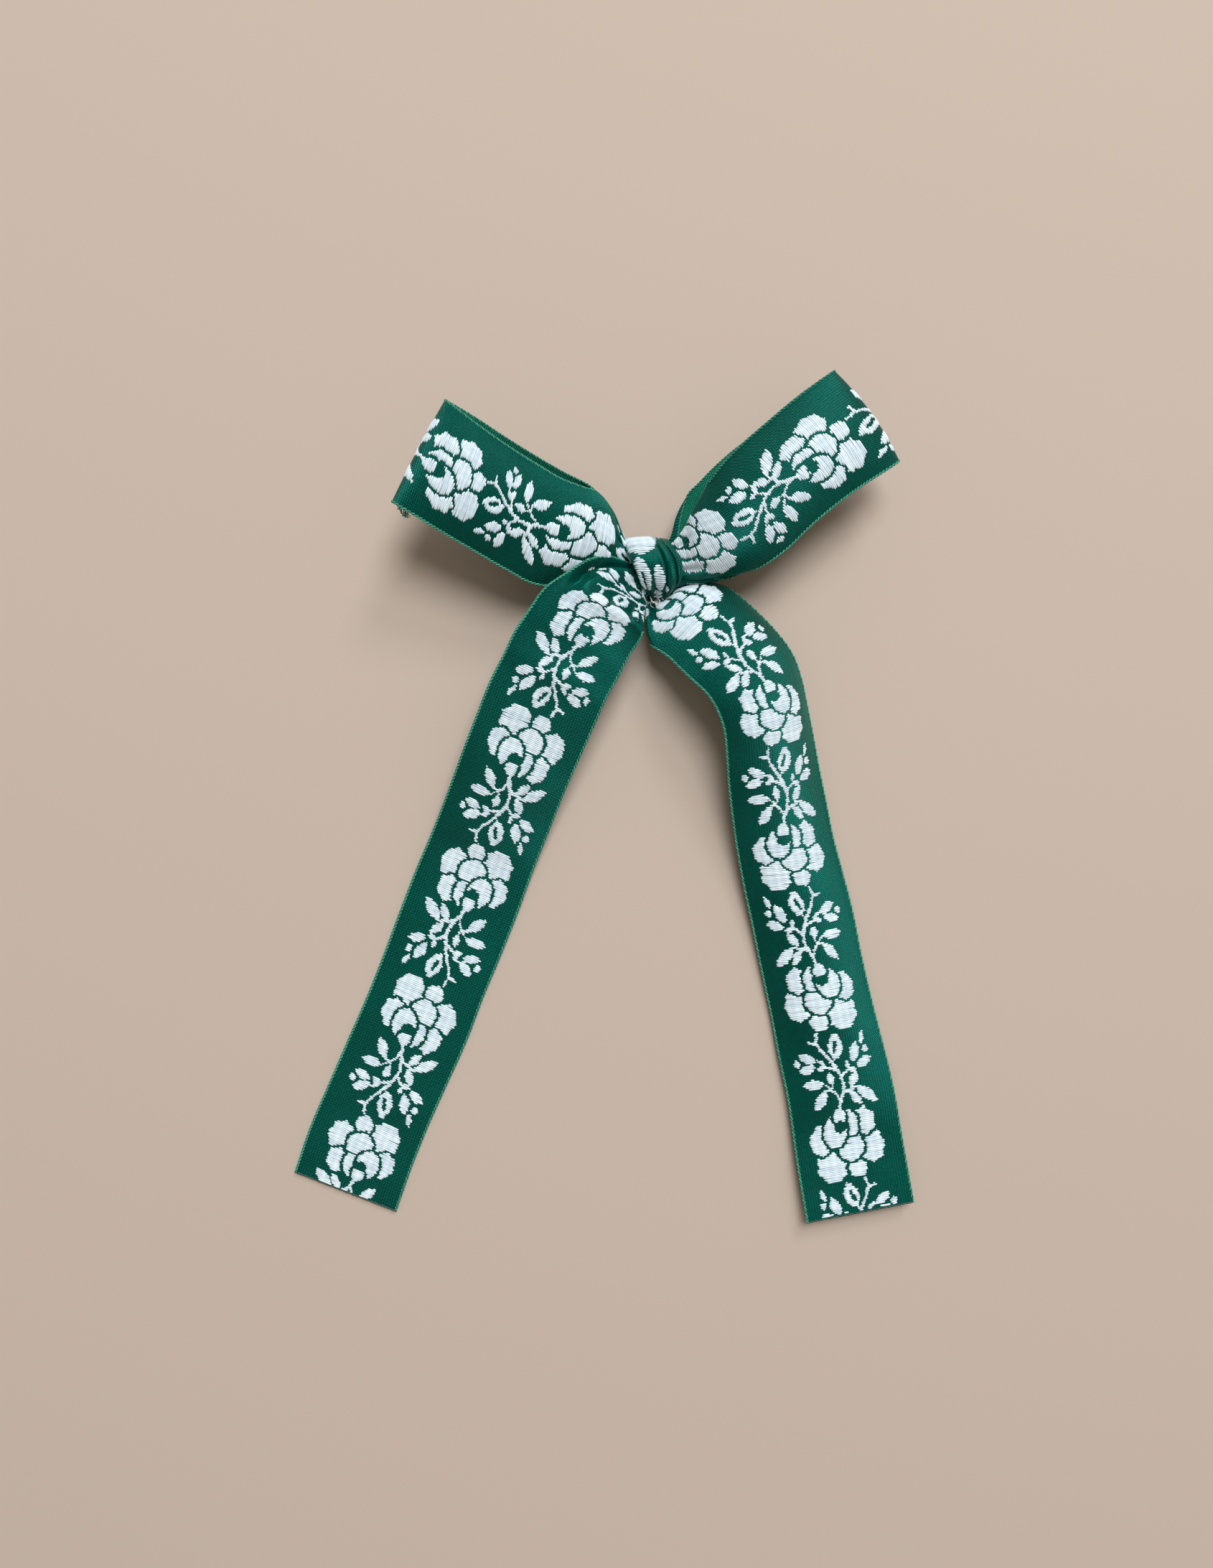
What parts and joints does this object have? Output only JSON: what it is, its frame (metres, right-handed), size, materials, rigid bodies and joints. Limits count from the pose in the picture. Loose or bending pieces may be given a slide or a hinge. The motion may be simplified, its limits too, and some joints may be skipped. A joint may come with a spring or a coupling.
{
  "type": "pre-made gift bow",
  "caption": "Flat-lying tied ribbon bow with two raised loops, a wrapped knot, two long tails and an adhesive pad on the back of the knot.",
  "frame": {"origin": "centre of the back face under the knot, on the release liner's outer face; Z = 0 is the surface that the bow lies on", "axes": "+Z away from that surface, out of the bow's face; +Y from the tails towards the loops; +X to the right as the bow is seen from its face"},
  "size_m": [0.1427, 0.1916, 0.0231],
  "materials": {
    "ribbon": "woven satin twill ground",
    "brocade": "raised floss weft floats, soft sheen",
    "thread": "twisted sewing thread",
    "foam": "closed-cell foam, matte",
    "liner_paper": "waxed release paper"
  },
  "bodies": {
    "knot": {"knot_wrap": "ribbon", "loop_gather": "ribbon", "tail_gather": "ribbon", "binding_thread": "thread", "adhesive_pad": "foam"},
    "left_loop_body": {"left_loop": "ribbon"},
    "right_loop_body": {"right_loop": "ribbon"},
    "left_tail_body": {"left_tail": "ribbon"},
    "right_tail_body": {"right_tail": "ribbon"},
    "liner_body": {"release_liner": "liner_paper"}
  },
  "joints": [
    {"name": "left_loop_lift", "type": "hinge", "parent": "knot", "child": "left_loop_body", "pos_m": [-0.0179, 0.00892, 0.0117], "axis": [0.4462, 0.8949, 0], "range_deg": [-12, 30], "stiffness_Nm_per_rad": 0.006},
    {"name": "right_loop_lift", "type": "hinge", "parent": "knot", "child": "right_loop_body", "pos_m": [0.01628, 0.01161, 0.00975], "axis": [0.5807, -0.8141, 0], "range_deg": [-6, 30], "stiffness_Nm_per_rad": 0.006},
    {"name": "left_tail_lift", "type": "hinge", "parent": "knot", "child": "left_tail_body", "pos_m": [-0.01927, -0.01864, 0.01382], "axis": [-0.9131, 0.4027, 0.0638], "range_deg": [-40, 60]},
    {"name": "right_tail_lift", "type": "hinge", "parent": "knot", "child": "right_tail_body", "pos_m": [0.01127, -0.01193, 0.00915], "axis": [-0.7841, -0.6007, 0.1559], "range_deg": [-40, 60]},
    {"name": "liner_peel", "type": "slide", "parent": "knot", "child": "liner_body", "axis": [0, 0, -1], "range_m": [0, 0.02]}
  ]
}
